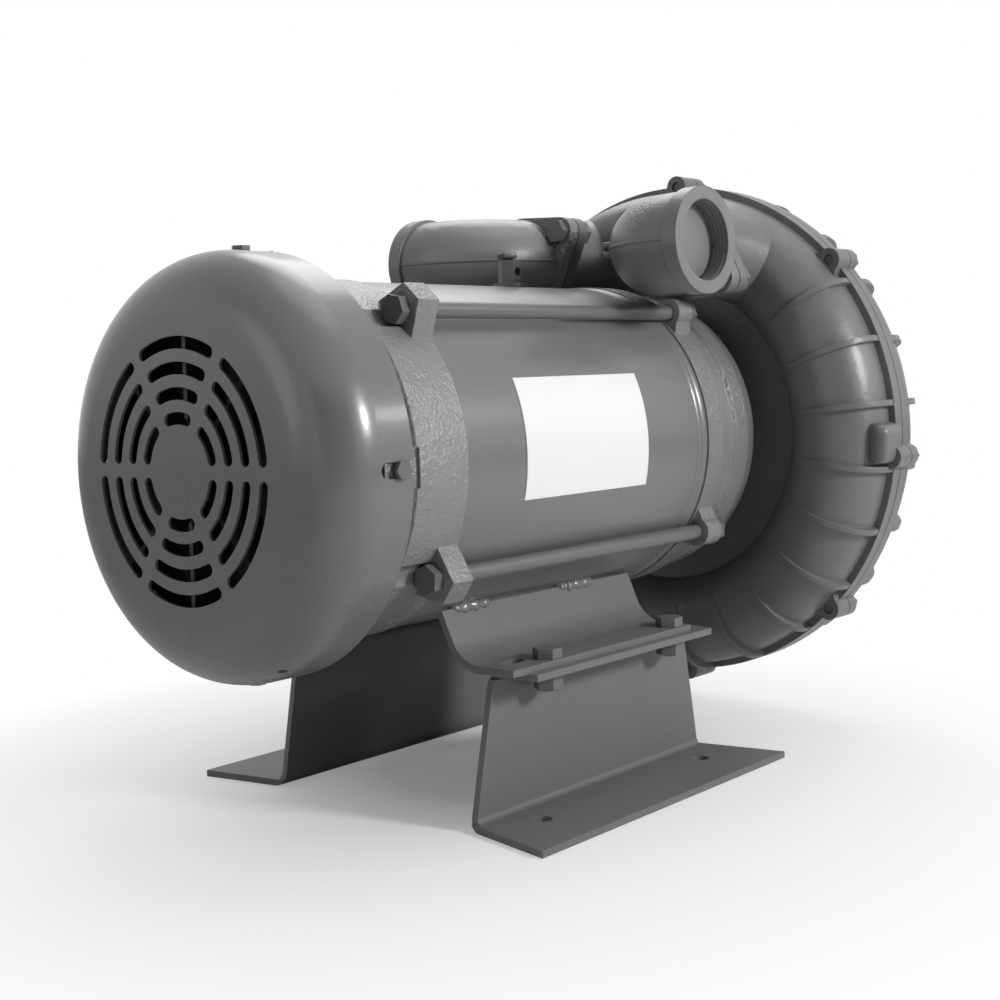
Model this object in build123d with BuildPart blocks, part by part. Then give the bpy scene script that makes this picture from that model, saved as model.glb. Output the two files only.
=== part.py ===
# Side channel blower on a fan cooled motor, in millimetres.
# +X runs along the shaft from the fan end to the blower end, +Z is up, and -Y is the near side.
# The origin lies on the floor, at the centre of the four foot holes.
from build123d import *
from math import asin, atan2, cos, degrees, hypot, radians, sin, sqrt
import os

# Driving dimensions: whole machine
shaft_height = 182.0
seat_gap = 0.15
running_gap = 0.08
sheet_gap = 0.10

# Motor shell
shell_radius = 89.0
shell_wall = 3.0
shell_start = -112.0
shell_length = 202.0
shell_end = shell_start + shell_length
shell_bore = shell_radius - shell_wall

# End bells
bell_proud = 1.0
bell_radius = shell_radius + bell_proud
bell_wall = 7.0
bell_chamfer = 12.0
bell_step = 16.0
bell_waist = 6.0
spigot_length = 8.0
rear_bell_length = 46.0
rear_bell_front = shell_start - rear_bell_length
front_bell_length = 48.0
front_face = shell_end + front_bell_length

# Through bolts: a rectangle of four, turned a little about the shaft
rod_stand_off = 6.0
rod_circle = shell_radius + rod_stand_off
rod_radius = 4.2
rod_flats = 13.0
rod_head = 6.0
rod_spare = 9.0
rod_clock = 7.0
rod_half_spread = 42.0
rod_angles = [
    180 - rod_clock - rod_half_spread,
    180 - rod_clock + rod_half_spread,
    360 - rod_clock - rod_half_spread,
    rod_half_spread - rod_clock,
]
lug_length = 14.0
lug_base_half = 18.0
lug_tip_half = 6.4
lug_tip_wall = 11.0
lug_tip_radius = rod_circle + lug_tip_wall
front_lug_radius = 8.4
lug_sunk = 9.0
lug_root_radius = shell_radius - lug_sunk
front_lug_set = 2.0
front_lug_start = shell_end + front_lug_set
front_lug_end = front_lug_start + lug_length
rear_lug_start = shell_start - lug_length
spot_radius = 8.2
spot_length = 36.0

# Fan guard
guard_overhang = 13.0
guard_radius = shell_radius + guard_overhang
guard_wall = 1.6
guard_depth = 48.5
guard_shoulder = 29.0
guard_rear = -161.0
guard_face = guard_rear - guard_depth
slot_radii = [59.2, 47.5, 35.9, 24.6]
slot_width = 5.8
slot_spoke = 6.0
slot_count = 6
drain_radius = 2.2
guard_screw_set = 8.0
guard_notch_width = 7.0
guard_screw_radius = 2.5
guard_screw_flats = 8.0
guard_screw_head = 2.4
guard_screw_shank = 12.0
guard_screw_length = 14.0
post_count = 4
post_half_width = 9.0
post_length = 20.0
post_inset = 16.0
post_start = guard_rear - post_inset
post_depth = 12.0
drain_x = -190.0
drain_angle = 244.0

# Shaft and bearings
fan_seat_radius = 7.5
rear_seat_radius = 8.5
front_seat_radius = 12.5
drive_radius = 7.94
core_seat_radius = 15.0
shaft_clearance = 1.5
rear_bearing = {"bore": rear_seat_radius, "outer": 20.0, "width": 12.0, "ball": 3.4, "count": 8}
front_bearing = {"bore": front_seat_radius, "outer": 26.0, "width": 15.0, "ball": 4.2, "count": 9}
ring_share = 0.30
ball_play = 0.10
bearing_play = 0.03
spring_width = 1.6
spring_inset = 0.3
spring_band = 3.0
cage_half = 0.8
cage_set = 0.6
shaft_chamfer = 1.0
shaft_recess = 3.0
key_width = 4.8
key_height = 4.8
key_gap = 0.05
impeller_washer_radius = 14.0
impeller_washer_wall = 3.0
impeller_bolt_flats = 13.0
impeller_bolt_head = 5.3
impeller_bolt_radius = 4.0
impeller_bolt_depth = 22.0
bolt_end_gap = 1.0
rear_bearing_set = 10.0
front_bearing_set = 22.0
rear_bearing_start = rear_bell_front + rear_bearing_set
front_bearing_start = shell_end + front_bearing_set

# Stator and rotor
air_gap = 0.4
stator_build = 35.0
rotor_radius = shell_bore - stator_build
core_set = 54.0
core_start = shell_start + core_set
core_room = 106.0
core_length = shell_length - core_room
core_end = core_start + core_length
stator_slots = 24
slot_lip = 1.5
winding_corner = 7.0
rotor_chamfer = 1.0
fin_depth = 12.0
fin_wall = 3.0
fin_reach = 8.0
slot_opening = 5.0
slot_depth = 16.0
winding_reach = 24.0
winding_clear = 4.0
winding_inner = rotor_radius + winding_clear
winding_gap = 8.0
winding_outer = shell_bore - winding_gap
ring_reach = 12.0
ring_inner = 26.0
rotor_fins = 12

# Cooling fan
fan_guard_gap = 16.0
fan_radius = guard_radius - fan_guard_gap
fan_start = -204.5
fan_length = 24.0
fan_end = fan_start + fan_length
fan_blades = 8
fan_blade_wall = 2.6
fan_disc_wall = 2.2
fan_hub_radius = 17.0
fan_hub_set = 6.0
fan_blade_set = 9.0
fan_blade_root = 24.0
fan_blade_sunk = 3.0

# Motor face to the blower
pilot_radius = 57.15
pilot_length = 4.0
face_radius = 86.0
face_bolt_circle = 74.6
face_bolt_radius = 4.5
face_bolt_count = 4
face_bolt_phase = 45.0
face_bolt_wall = 17.0
face_flange_wall = 12.0
face_taper = 2.0
face_thread_depth = 14.0

# Side channel and impeller
port_rise = 109.0
port_half_spread = 58.0
channel_circle = hypot(port_rise, port_half_spread)
channel_radius = 24.0
channel_wall = 5.0
torus_radius = channel_radius + channel_wall
impeller_width = 24.0
impeller_reach = 56.4
impeller_mid = front_face + impeller_reach
impeller_play = 0.5
vane_clear = 0.6
impeller_radius = channel_circle + channel_radius - vane_clear
impeller_hub_radius = 26.0
impeller_hub_play = 0.03
impeller_hub_bore = drive_radius + impeller_hub_play
vane_count = 36
vane_wall = 3.0
vane_root = channel_circle - channel_radius + vane_clear
impeller_web = 4.0
impeller_rim = 3.0
impeller_edge = 1.5
impeller_pocket = 14.0
stripper_half_angle = 14.0
land_x = impeller_mid - impeller_width / 2 - impeller_play
cover_land_x = impeller_mid + impeller_width / 2 + impeller_play

# Housing and cover castings
rim_radius = 156.6
rim_thickness = 8.0
gasket_thickness = 0.8
joint_x = impeller_mid - gasket_thickness / 2
cover_joint_x = joint_x + gasket_thickness
web_wall = 9.5
neck_outer = 66.0
mount_flange_set = 2.0
mount_flange_radius = face_radius - mount_flange_set
mount_flange_wall = 9.0
rib_count = 25
rib_wall = 3.6
rib_height = 1.4
rib_shift = 2.6
rib_phase = 1.5
port_zone_start = 33.0
port_zone_end = 140.0
rim_ear_angles = [40.5, 94.0, 139.5, 186.0, 224.0, 266.5, 316.0, 354.0]
rim_bolt_set = 0.4
rim_bolt_circle = rim_radius - rim_bolt_set
rim_ear_radius = 7.0
rim_ear_sunk = 7.6
rim_ear_root = rim_radius - rim_ear_sunk
rim_ear_base = 11.5
rim_ear_back = 6.0
rim_bolt_radius = 3.0
rim_bolt_flats = 10.0
rim_bolt_head = 4.2
rim_spot_radius = 6.2
cover_web_wall = 7.0
dome_radius = 34.0
dome_taper = 4.0
dome_reach = 16.0
dome_pocket_radius = 27.0
dome_pocket_depth = 11.0
hub_wall = 8.0
rim_bolt_short = 1.5
mount_bolt_flats = 14.3
mount_bolt_head = 6.4
seal_outer = 16.0
seal_width = 8.0
seal_set = 12.0
sleeve_radius = 11.0
seal_lip = 1.6

# Ports and elbows
port_bore = 19.0
port_outer = 27.0
elbow_reach = 50.0
elbow_bend = 38.0
elbow_radius = 27.6
collar_radius = 29.4
collar_length = 9.0
thread_radius = 22.2
thread_depth = 19.0
elbow_setback = 73.0
elbow_corner_x = front_face - elbow_setback
flange_wall = 8.0
flange_radius = 29.0
flange_ear_offset = 35.2
flange_ear_radius = 9.0
flange_ear_tilt = 31.0
flange_bolt_radius = 4.0
flange_bolt_flats = 13.0
flange_bolt_head = 5.3
flange_nut_height = 6.5
parting_proud = 0.6
parting_wall = 1.2
fairing_start = 134.0
fairing_radial = 29.0
fairing_tangential = 38.0
elbow_flange_x = elbow_corner_x + elbow_reach
elbow_gasket = 1.0
port_face_x = elbow_flange_x + elbow_gasket

# Stands: one flared blank, folded twice
sheet = 3.5
sheet_bend = 4.75
stand_foot_y = 123.0
stand_web_y = 68.5
stand_web_lean = 1.7
stand_flange_y = 97.0
stand_gap = 17.0
stand_top_z = shaft_height - shell_radius - stand_gap
stand_half_length = 96.5
stand_flare = 0.2
foot_hole_x = 69.2
foot_hole_y = 92.0
foot_hole_radius = 4.5

# Saddle plates
saddle_wing_y = 92.0
saddle_corner_y = 58.4
saddle_top_y = 46.5
saddle_rise = 11.5
saddle_top_z = shaft_height - shell_radius + saddle_rise
saddle_bend = 20.0
saddle_center_x = -12.5
saddle_half_length = 75.5
saddle_flare = 0.22
saddle_bolt_x = 53.0
saddle_bolt_y = 84.5
spare_hole_x = -70.0
spare_hole_y = 76.0
saddle_bolt_radius = 4.0
bead_length = 22.0
bead_radius = 3.2
bead_x = [-78.0, 8.0]
spare_hole_length = 14.0
washer_radius = 7.4
washer_wall = 1.6

# Small parts
label_set = 43.0
label_start_x = shell_start + label_set
label_width = 101.0
label_thickness = 0.3
label_start_angle = 155.0
label_angle = 39.5
plug_x = 26.0
plug_flat = 12.0
plug_height = 13.0
plug_base_radius = 10.0
plug_base_height = 2.0
plug_hole = 2.6
box_x = -17.0
box_length = 74.0
box_height = 76.0
box_depth = 36.0
box_wall = 2.0
box_gap = 3.0
box_y = shell_radius + box_gap
box_neck_radius = 17.0
box_neck_bore = 12.0
conduit_radius = 11.0
conduit_set = 13.0
conduit_drop = 15.0
box_corner = 6.0
box_neck_reach = 8.0
box_screw_radius = 2.0
box_screw_flats = 7.0
box_screw_head = 2.8
box_screw_length = 16.0
board_wall = 5.0
board_length = 44.0
board_height = 56.0
board_corner = 4.0
board_hole = 9.0
board_hole_rise = 14.0
board_pitch = 12.0
board_stud = 2.0
board_stud_reach = 12.0

# Planes and axes of the machine
motor_axis = Axis((0, 0, shaft_height), (1, 0, 0))


def station(x):
    """Plane across the shaft at x, with local x to the far side and local y up."""
    return Plane(origin=(x, 0, shaft_height), x_dir=(0, 1, 0), z_dir=(1, 0, 0))


def axial_plane(angle):
    """Plane through the shaft, with local x along it and local y outward at the angle."""
    turn = radians(angle)
    origin = (0, 0, shaft_height)
    return Plane(origin=origin, x_dir=(1, 0, 0), z_dir=(0, -sin(turn), cos(turn)))


def polar_plane(x, radius, angle, facing):
    """Plane across the shaft at a polar place, looking along +X or -X."""
    turn = radians(angle)
    outward = (0, cos(turn), sin(turn))
    origin = (x, radius * cos(turn), shaft_height + radius * sin(turn))
    return Plane(origin=origin, x_dir=outward, z_dir=(facing, 0, 0))


def save(part, name):
    """Label the finished piece and write its STEP file."""
    part.label = name
    export_step(part, f"parts/{name}.step")


def hex_fasteners(planes, flats, head, shank_radius, shank):
    """Hex heads standing on the planes, each with a shank going back through its plane."""
    with BuildPart() as group:
        with BuildSketch(*planes):
            RegularPolygon(radius=flats / 2, side_count=6, major_radius=False)
        extrude(amount=head)
        if shank > 0:
            with BuildSketch(*planes):
                Circle(shank_radius)
            extrude(amount=-shank)
    return group.part


def hex_nuts(planes, flats, height, bore):
    """Hex nuts standing on the planes."""
    with BuildPart() as group:
        with BuildSketch(*planes):
            RegularPolygon(radius=flats / 2, side_count=6, major_radius=False)
            Circle(bore, mode=Mode.SUBTRACT)
        extrude(amount=height)
    return group.part


def flat_rings(planes, outer, inner, height):
    """Washers or gaskets standing on the planes."""
    with BuildPart() as group:
        with BuildSketch(*planes):
            Circle(outer)
            Circle(inner, mode=Mode.SUBTRACT)
        extrude(amount=height)
    return group.part


os.makedirs("parts", exist_ok=True)

# Motor shell
with BuildPart() as motor_shell:
    with BuildSketch(station(shell_start)):
        Circle(shell_radius)
        Circle(shell_bore, mode=Mode.SUBTRACT)
    extrude(amount=shell_length)
    with BuildSketch(Plane.XZ.offset(-shell_radius)):
        with Locations((box_x, shaft_height)):
            Circle(box_neck_bore)
    extrude(amount=2 * shell_wall + box_neck_bore, mode=Mode.SUBTRACT)
save(motor_shell.part, "motor_shell")


def lug_profiles(x):
    """Four tapered lug outlines for the heads of the through bolts."""
    with BuildSketch(station(x)) as lugs:
        for angle in rod_angles:
            with PolarLocations(0, 1, start_angle=angle):
                Polygon(
                    (lug_root_radius, -lug_base_half),
                    (lug_tip_radius, -lug_tip_half),
                    (lug_tip_radius, lug_tip_half),
                    (lug_root_radius, lug_base_half),
                    align=None,
                )
    return lugs.sketch


def round_lug_profiles(x):
    """Four round ended lug outlines for the nuts of the through bolts."""
    with BuildSketch(station(x)) as lugs:
        for angle in rod_angles:
            with PolarLocations(0, 1, start_angle=angle):
                Polygon(
                    (lug_root_radius, -lug_base_half),
                    (rod_circle, -front_lug_radius),
                    (rod_circle, front_lug_radius),
                    (lug_root_radius, lug_base_half),
                    align=None,
                )
            with PolarLocations(rod_circle, 1, start_angle=angle):
                Circle(front_lug_radius)
    return lugs.sketch


def rod_circles(x, radius):
    """Four circles at the through bolts."""
    with BuildSketch(station(x)) as circles:
        for angle in rod_angles:
            with PolarLocations(rod_circle, 1, start_angle=angle):
                Circle(radius)
    return circles.sketch


def side_plane(x, radius, angle):
    """Plane whose normal points outward from the shaft at the angle."""
    turn = radians(angle)
    origin = (x, radius * cos(turn), shaft_height + radius * sin(turn))
    return Plane(origin=origin, x_dir=(1, 0, 0), z_dir=(0, cos(turn), sin(turn)))


# Rear end bell
rear_seat_end = rear_bearing_start + rear_bearing["width"]
spring_start = rear_bearing_start - spring_width
spigot_radius = shell_bore - seat_gap
spigot_bore = spigot_radius - bell_wall
guard_bore = guard_radius - guard_wall
bell_taper = rear_bell_front + bell_chamfer
post_top = guard_bore - sheet_gap
post_angles = [90 * k for k in range(post_count)]
screw_x = guard_rear - guard_screw_set
with BuildPart() as rear_end_bell:
    extrude(lug_profiles(rear_lug_start), amount=lug_length)
    with BuildSketch(axial_plane(90)):
        Polygon(
            (shell_start, 0),
            (shell_start, bell_radius),
            (bell_taper, bell_radius),
            (rear_bell_front, bell_radius - bell_chamfer),
            (rear_bell_front, 0),
            align=None,
        )
    revolve(axis=motor_axis)
    with BuildSketch(*[axial_plane(angle) for angle in post_angles]):
        Polygon(
            (post_start, post_top - post_depth),
            (post_start, guard_radius),
            (post_start + post_length, guard_radius),
            (bell_taper + bell_wall, bell_radius - bell_wall),
            (rear_bell_front, bell_radius - bell_chamfer - bell_wall),
            align=None,
        )
    extrude(amount=post_half_width, both=True)
    with BuildSketch(station(post_start)):
        Circle(guard_radius + post_depth)
        Circle(post_top, mode=Mode.SUBTRACT)
    extrude(amount=post_length, mode=Mode.SUBTRACT)
    with BuildSketch(axial_plane(90)):
        Polygon(
            (shell_start, spigot_bore),
            (bell_taper + bell_wall, spigot_bore),
            (rear_bell_front + bell_wall, bell_radius - bell_chamfer - bell_wall),
            (rear_bell_front + bell_wall, rear_bearing["outer"] + bell_wall),
            (rear_seat_end, rear_bearing["outer"] + bell_wall),
            (rear_seat_end, 0),
            (shell_start, 0),
            align=None,
        )
    revolve(axis=motor_axis, mode=Mode.SUBTRACT)
    with BuildSketch(station(shell_start)):
        Circle(spigot_radius)
        Circle(spigot_bore, mode=Mode.SUBTRACT)
    extrude(amount=spigot_length)
    with BuildSketch(station(spring_start)):
        Circle(rear_bearing["outer"] + bearing_play)
    extrude(amount=rear_seat_end - spring_start, mode=Mode.SUBTRACT)
    with BuildSketch(station(rear_bell_front)):
        Circle(fan_seat_radius + shaft_clearance)
    extrude(amount=rear_bearing_set, mode=Mode.SUBTRACT)
    extrude(rod_circles(rear_lug_start, rod_radius + seat_gap), amount=lug_length, mode=Mode.SUBTRACT)
    extrude(rod_circles(rear_lug_start, spot_radius), amount=-spot_length, mode=Mode.SUBTRACT)
    with BuildSketch(*[side_plane(screw_x, guard_radius, angle) for angle in post_angles]):
        Circle(guard_screw_radius + seat_gap)
    extrude(amount=-guard_screw_length, mode=Mode.SUBTRACT)
save(rear_end_bell.part, "rear_end_bell")

# Front end bell
front_seat_end = front_bearing_start + front_bearing["width"]
waist_radius = bell_radius - bell_waist
with BuildPart() as front_end_bell:
    with BuildSketch(axial_plane(90)):
        Polygon(
            (shell_end - spigot_length, 0),
            (shell_end - spigot_length, spigot_radius),
            (shell_end, spigot_radius),
            (shell_end, bell_radius),
            (shell_end + bell_step, bell_radius),
            (shell_end + bell_step + bell_waist, waist_radius),
            (front_face - face_flange_wall - face_taper, waist_radius),
            (front_face - face_flange_wall, face_radius),
            (front_face, face_radius),
            (front_face, pilot_radius),
            (front_face + pilot_length, pilot_radius),
            (front_face + pilot_length, 0),
            align=None,
        )
    revolve(axis=motor_axis)
    extrude(round_lug_profiles(front_lug_start), amount=lug_length)
    with BuildSketch(axial_plane(90)):
        Polygon(
            (shell_end - spigot_length, 0),
            (shell_end - spigot_length, spigot_bore),
            (shell_end + bell_step - bell_waist, spigot_bore),
            (front_face - face_flange_wall - bell_waist, waist_radius - face_bolt_wall),
            (front_face - face_flange_wall - bell_waist, front_bearing["outer"] + bell_wall),
            (front_bearing_start, front_bearing["outer"] + bell_wall),
            (front_bearing_start, 0),
            align=None,
        )
    revolve(axis=motor_axis, mode=Mode.SUBTRACT)
    with BuildSketch(station(front_bearing_start)):
        Circle(front_bearing["outer"] + bearing_play)
    extrude(amount=front_bearing["width"], mode=Mode.SUBTRACT)
    with BuildSketch(station(front_seat_end)):
        Circle(sleeve_radius + shaft_clearance)
    extrude(amount=front_face + pilot_length - front_seat_end, mode=Mode.SUBTRACT)
    with BuildSketch(station(front_seat_end + bell_wall)):
        Circle(pilot_radius - bell_wall)
    extrude(amount=front_face + pilot_length - front_seat_end - bell_wall, mode=Mode.SUBTRACT)
    extrude(rod_circles(front_lug_start, rod_radius + seat_gap), amount=lug_length, mode=Mode.SUBTRACT)
    extrude(rod_circles(front_lug_end, spot_radius), amount=rod_spare, mode=Mode.SUBTRACT)
    with BuildSketch(station(front_face - face_thread_depth)):
        with PolarLocations(face_bolt_circle, face_bolt_count, start_angle=face_bolt_phase):
            Circle(face_bolt_radius + seat_gap)
    extrude(amount=face_thread_depth, mode=Mode.SUBTRACT)
save(front_end_bell.part, "front_end_bell")

# Fan guard: a drawn cup with four rings of slots in its face
with BuildPart() as fan_guard:
    with BuildSketch(axial_plane(90)):
        with BuildLine():
            Polyline((guard_face, 0), (guard_face, guard_radius - guard_shoulder))
            shoulder_center = (guard_face + guard_shoulder, guard_radius - guard_shoulder)
            CenterArc(shoulder_center, guard_shoulder, 90, 90)
            Polyline(
                (guard_face + guard_shoulder, guard_radius),
                (guard_rear, guard_radius),
                (guard_rear, guard_bore),
                (guard_face + guard_shoulder, guard_bore),
            )
            CenterArc(shoulder_center, guard_shoulder - guard_wall, 90, 90)
            Polyline(
                (guard_face + guard_wall, guard_radius - guard_shoulder),
                (guard_face + guard_wall, 0),
                (guard_face, 0),
            )
        make_face()
    revolve(axis=motor_axis)
    with BuildSketch(station(guard_face)):
        for radius in slot_radii:
            spoke_half = degrees(asin((slot_spoke + slot_width) / (2 * radius)))
            slot_sweep = 360 / slot_count - 2 * spoke_half
            with PolarLocations(0, slot_count, start_angle=spoke_half):
                with BuildLine(mode=Mode.PRIVATE) as slot_line:
                    CenterArc((0, 0), radius, 0, slot_sweep)
                SlotArc(slot_line.edge(), height=slot_width, rotation=0)
    extrude(amount=guard_wall, mode=Mode.SUBTRACT)
    with BuildSketch(*[side_plane(screw_x, guard_radius, angle) for angle in post_angles]):
        SlotCenterPoint((0, 0), (guard_screw_set, 0), guard_notch_width)
    extrude(amount=2 * guard_wall, both=True, mode=Mode.SUBTRACT)
    with BuildSketch(side_plane(drain_x, guard_radius, drain_angle)):
        Circle(drain_radius)
    extrude(amount=2 * guard_wall, both=True, mode=Mode.SUBTRACT)
save(fan_guard.part, "fan_guard")

# Screws that hold the guard to the posts of the rear bell
screw_planes = [side_plane(screw_x, guard_radius + seat_gap, angle) for angle in post_angles]
guard_screws = hex_fasteners(
    screw_planes,
    guard_screw_flats,
    guard_screw_head,
    guard_screw_radius,
    guard_screw_shank,
)
save(guard_screws, "guard_screws")

# Through bolts and their nuts
rod_planes = [polar_plane(rear_lug_start, rod_circle, angle, -1) for angle in rod_angles]
rod_length = front_lug_end - rear_lug_start + rod_spare
tie_rods = hex_fasteners(rod_planes, rod_flats, rod_head, rod_radius, rod_length)
save(tie_rods, "tie_rods")
nut_planes = [polar_plane(front_lug_end, rod_circle, angle, 1) for angle in rod_angles]
tie_rod_nuts = hex_nuts(nut_planes, rod_flats, rod_head, rod_radius + sheet_gap)
save(tie_rod_nuts, "tie_rod_nuts")

# Stator core and its end windings
core_radius = shell_bore - seat_gap
stator_bore = rotor_radius + air_gap
slot_mid = stator_bore + slot_lip + slot_depth / 2
with BuildPart() as stator_core:
    with BuildSketch(station(core_start)):
        Circle(core_radius)
        Circle(stator_bore, mode=Mode.SUBTRACT)
        with PolarLocations(slot_mid, stator_slots):
            Rectangle(slot_depth, slot_opening, mode=Mode.SUBTRACT)
    extrude(amount=core_length)
save(stator_core.part, "stator_core")

with BuildPart() as stator_windings:
    with BuildSketch(axial_plane(90)):
        for x in (core_start - winding_reach, core_end):
            with Locations((x + winding_reach / 2, (winding_inner + winding_outer) / 2)):
                RectangleRounded(winding_reach, winding_outer - winding_inner, winding_corner)
    revolve(axis=motor_axis)
save(stator_windings.part, "stator_windings")

# Rotor core, and the cast rings with cooling fins at both ends of it
rotor_bore = core_seat_radius + bearing_play
with BuildPart() as rotor_core:
    with BuildSketch(station(core_start)):
        Circle(rotor_radius)
        Circle(rotor_bore, mode=Mode.SUBTRACT)
    extrude(amount=core_length)
save(rotor_core.part, "rotor_core")

with BuildPart() as rotor_end_rings:
    for x, side in ((core_start, -1), (core_end, 1)):
        with BuildSketch(station(x)):
            Circle(rotor_radius - rotor_chamfer)
            Circle(ring_inner, mode=Mode.SUBTRACT)
        extrude(amount=side * ring_reach)
        with BuildSketch(station(x)):
            with PolarLocations((ring_inner + rotor_radius) / 2, rotor_fins):
                Rectangle(fin_depth, fin_wall)
        extrude(amount=side * (ring_reach + fin_reach))
save(rotor_end_rings.part, "rotor_end_rings")

# Shaft, turned from the fan seat to the impeller seat
rear_shoulder = rear_seat_end
front_shoulder = front_bearing_start
impeller_start = impeller_mid - impeller_width / 2
impeller_end = impeller_mid + impeller_width / 2
shaft_tip = impeller_end - shaft_recess
with BuildPart() as shaft:
    with BuildSketch(axial_plane(90)):
        Polygon(
            (fan_start, 0),
            (fan_start, fan_seat_radius - shaft_chamfer),
            (fan_start + shaft_chamfer, fan_seat_radius),
            (spring_start, fan_seat_radius),
            (spring_start, rear_seat_radius - bearing_play),
            (rear_shoulder, rear_seat_radius - bearing_play),
            (rear_shoulder, core_seat_radius),
            (front_shoulder, core_seat_radius),
            (front_shoulder, front_seat_radius - bearing_play),
            (front_seat_end, front_seat_radius - bearing_play),
            (front_seat_end, drive_radius),
            (shaft_tip - shaft_chamfer, drive_radius),
            (shaft_tip, drive_radius - shaft_chamfer),
            (shaft_tip, 0),
            align=None,
        )
    revolve(axis=motor_axis)
    with BuildSketch(station(impeller_start)):
        with Locations((0, drive_radius)):
            Rectangle(key_width, key_height)
    extrude(amount=impeller_width, mode=Mode.SUBTRACT)
    with BuildSketch(station(shaft_tip)):
        Circle(impeller_bolt_radius + seat_gap)
    extrude(amount=-impeller_bolt_depth, mode=Mode.SUBTRACT)
save(shaft.part, "shaft")


def ball_bearing(name, spec, start):
    """Inner ring, outer ring, and the balls in their cage, saved as three pieces."""
    bore = spec["bore"]
    outer = spec["outer"]
    width = spec["width"]
    ball = spec["ball"]
    pitch = (bore + outer) / 2
    ring_wall = (outer - bore) * ring_share
    middle = start + width / 2
    with BuildPart() as inner:
        with BuildSketch(station(start)):
            Circle(bore + ring_wall)
            Circle(bore, mode=Mode.SUBTRACT)
        extrude(amount=width)
        with BuildSketch(axial_plane(90)):
            with Locations((middle, pitch)):
                Circle(ball + ball_play)
        revolve(axis=motor_axis, mode=Mode.SUBTRACT)
    save(inner.part, name + "_inner_ring")
    with BuildPart() as race:
        with BuildSketch(station(start)):
            Circle(outer)
            Circle(outer - ring_wall, mode=Mode.SUBTRACT)
        extrude(amount=width)
        with BuildSketch(axial_plane(90)):
            with Locations((middle, pitch)):
                Circle(ball + ball_play)
        revolve(axis=motor_axis, mode=Mode.SUBTRACT)
    save(race.part, name + "_outer_ring")
    with BuildPart() as balls:
        with BuildSketch(station(middle)):
            Circle(pitch + cage_half)
            Circle(pitch - cage_half, mode=Mode.SUBTRACT)
        extrude(amount=ball - cage_set, both=True)
        with Locations(station(middle)):
            with PolarLocations(pitch, spec["count"]):
                Sphere(ball)
    save(balls.part, name + "_balls")


ball_bearing("rear_bearing", rear_bearing, rear_bearing_start)
ball_bearing("front_bearing", front_bearing, front_bearing_start)

# Wave spring that loads the rear bearing
with BuildPart() as wave_spring:
    with BuildSketch(station(spring_start + seat_gap)):
        Circle(rear_bearing["outer"] - spring_inset)
        Circle(rear_bearing["outer"] - spring_band, mode=Mode.SUBTRACT)
    extrude(amount=spring_width - 2 * seat_gap)
save(wave_spring.part, "wave_spring")

# Cooling fan: a hub, a disc and straight blades
with BuildPart() as cooling_fan:
    with BuildSketch(axial_plane(90)):
        Polygon(
            (fan_start + fan_hub_set, 0),
            (fan_start + fan_hub_set, fan_hub_radius - fan_disc_wall),
            (fan_end - fan_disc_wall, fan_hub_radius),
            (fan_end - fan_disc_wall, fan_radius),
            (fan_end, fan_radius),
            (fan_end, 0),
            align=None,
        )
    revolve(axis=motor_axis)
    with BuildSketch(*[axial_plane(360 * k / fan_blades) for k in range(fan_blades)]):
        Polygon(
            (fan_start + fan_blade_set, fan_hub_radius - fan_disc_wall - fan_blade_sunk),
            (fan_start, fan_blade_root),
            (fan_start, fan_radius - guard_shoulder / 3),
            (fan_start + guard_shoulder / 3, fan_radius),
            (fan_end - fan_disc_wall / 2, fan_radius),
            (fan_end - fan_disc_wall / 2, fan_hub_radius - fan_disc_wall - fan_blade_sunk),
            align=None,
        )
    extrude(amount=fan_blade_wall / 2, both=True)
    with BuildSketch(station(fan_start)):
        Circle(fan_seat_radius + bearing_play)
    extrude(amount=fan_length, mode=Mode.SUBTRACT)
save(cooling_fan.part, "cooling_fan")

# Sleeve between the front bearing and the impeller, with the lip seal that rides on it
with BuildPart() as shaft_sleeve:
    with BuildSketch(station(front_seat_end)):
        Circle(sleeve_radius)
        Circle(drive_radius + bearing_play, mode=Mode.SUBTRACT)
    extrude(amount=impeller_start - front_seat_end)
save(shaft_sleeve.part, "shaft_sleeve")

seal_start = land_x - seal_set - seal_width
with BuildPart() as shaft_seal:
    with BuildSketch(axial_plane(90)):
        Polygon(
            (seal_start, sleeve_radius + seal_lip),
            (seal_start, seal_outer),
            (seal_start + seal_width, seal_outer),
            (seal_start + seal_width, seal_outer - seal_lip),
            (seal_start + seal_lip, seal_outer - seal_lip),
            (seal_start + seal_width - seal_lip, sleeve_radius + running_gap),
            (seal_start + seal_lip, sleeve_radius + running_gap),
            align=None,
        )
    revolve(axis=motor_axis)
save(shaft_seal.part, "shaft_seal")

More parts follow.
